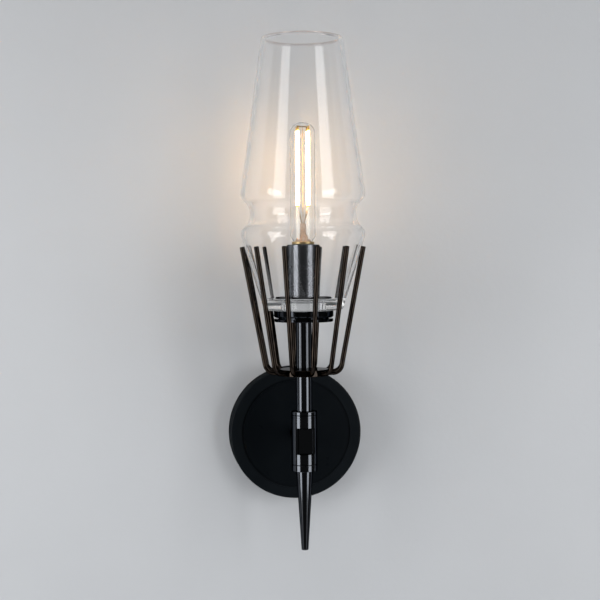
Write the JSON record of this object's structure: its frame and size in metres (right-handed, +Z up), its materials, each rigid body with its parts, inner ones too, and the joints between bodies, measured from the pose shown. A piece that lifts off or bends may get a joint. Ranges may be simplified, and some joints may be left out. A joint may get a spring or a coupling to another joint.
{
  "type": "wall sconce",
  "caption": "Black wall sconce: round wall plate, upright stem with a tapered finial, cage of bent rods and a tall clear glass shade open at the top round a tubular lamp.",
  "frame": {"origin": "centre of the wall plate, on the wall's surface", "axes": "+Z up along the stem, +Y into the wall, +X to the right as seen from the room"},
  "size_m": [0.12, 0.1308, 0.4458],
  "materials": {
    "plate_black": "satin powder coat",
    "nickel_black": "polished black nickel",
    "rod_black": "semi-gloss bronze black",
    "cup_black": "satin black",
    "shade_glass": "clear",
    "gasket_rubber": "matte",
    "steel": "zinc plated",
    "brass": "bright",
    "block_plastic": "moulded",
    "holder_plastic": "moulded",
    "live_insulation": "smooth",
    "neutral_insulation": "smooth",
    "earth_insulation": "smooth",
    "lamp_cap": "bright",
    "lamp_insulator": "glossy",
    "lamp_glass": "clear",
    "lamp_wire": "plain",
    "lamp_filament": "coated"
  },
  "bodies": {
    "fixture": {"wall_plate": "plate_black", "arm_tube": "nickel_black", "coupler_body": "nickel_black", "coupler_cover": "nickel_black", "coupler_top_ring": "nickel_black", "coupler_bottom_ring": "nickel_black", "lower_stem": "nickel_black", "upper_stem": "nickel_black", "cage_hub": "rod_black", "cage_rod_01": "rod_black", "cage_rod_02": "rod_black", "cage_rod_03": "rod_black", "cage_rod_04": "rod_black", "cage_rod_05": "rod_black", "cage_rod_06": "rod_black", "cage_rod_07": "rod_black", "cage_rod_08": "rod_black", "cage_rod_09": "rod_black", "cage_rod_10": "rod_black", "cage_rod_11": "rod_black", "cage_rod_12": "rod_black", "seat_plate": "cup_black", "shade_seat": "cup_black", "socket_cup": "cup_black", "lower_gasket": "gasket_rubber", "wall_bracket": "steel", "plate_grub_screws": "steel", "block_pole_screws": "steel", "block_fixing_screws": "steel", "earth_screw": "steel", "earth_lug": "steel", "arm_nipple": "steel", "arm_washer": "steel", "arm_nut": "steel", "finial_stud": "steel", "stem_rod": "steel", "cup_washer": "steel", "cup_nut": "steel", "terminal_screws": "steel", "block_terminals": "brass", "live_terminal": "brass", "neutral_terminal": "brass", "holder_shell": "brass", "centre_contact": "brass", "terminal_block": "block_plastic", "lampholder_body": "holder_plastic", "live_lead": "live_insulation", "neutral_lead": "neutral_insulation", "earth_lead": "earth_insulation"},
    "shade": {"glass_shade": "shade_glass", "upper_gasket": "gasket_rubber"},
    "ring": {"shade_ring": "cup_black"},
    "lamp": {"bulb_cap": "lamp_cap", "bulb_contact": "lamp_cap", "bulb_envelope": "lamp_glass", "bulb_filaments": "lamp_filament", "bulb_insulator": "lamp_insulator", "bulb_stem": "lamp_glass", "bulb_wires": "lamp_wire"},
    "finial": {"finial": "nickel_black"}
  },
  "joints": [
    {"name": "shade_lift", "type": "slide", "parent": "fixture", "child": "shade", "axis": [0, 0, 1], "range_m": [0, 0.17]},
    {"name": "ring_lift", "type": "slide", "parent": "shade", "child": "ring", "axis": [0, 0, 1], "range_m": [0, 0.235]},
    {"name": "bulb_lift", "type": "slide", "parent": "fixture", "child": "lamp", "axis": [0, 0, 1], "range_m": [0, 0.21]},
    {"name": "finial_turn", "type": "hinge", "parent": "fixture", "child": "finial", "pos_m": [0, -0.075, -0.06], "axis": [0, 0, 1], "continuous": true}
  ]
}
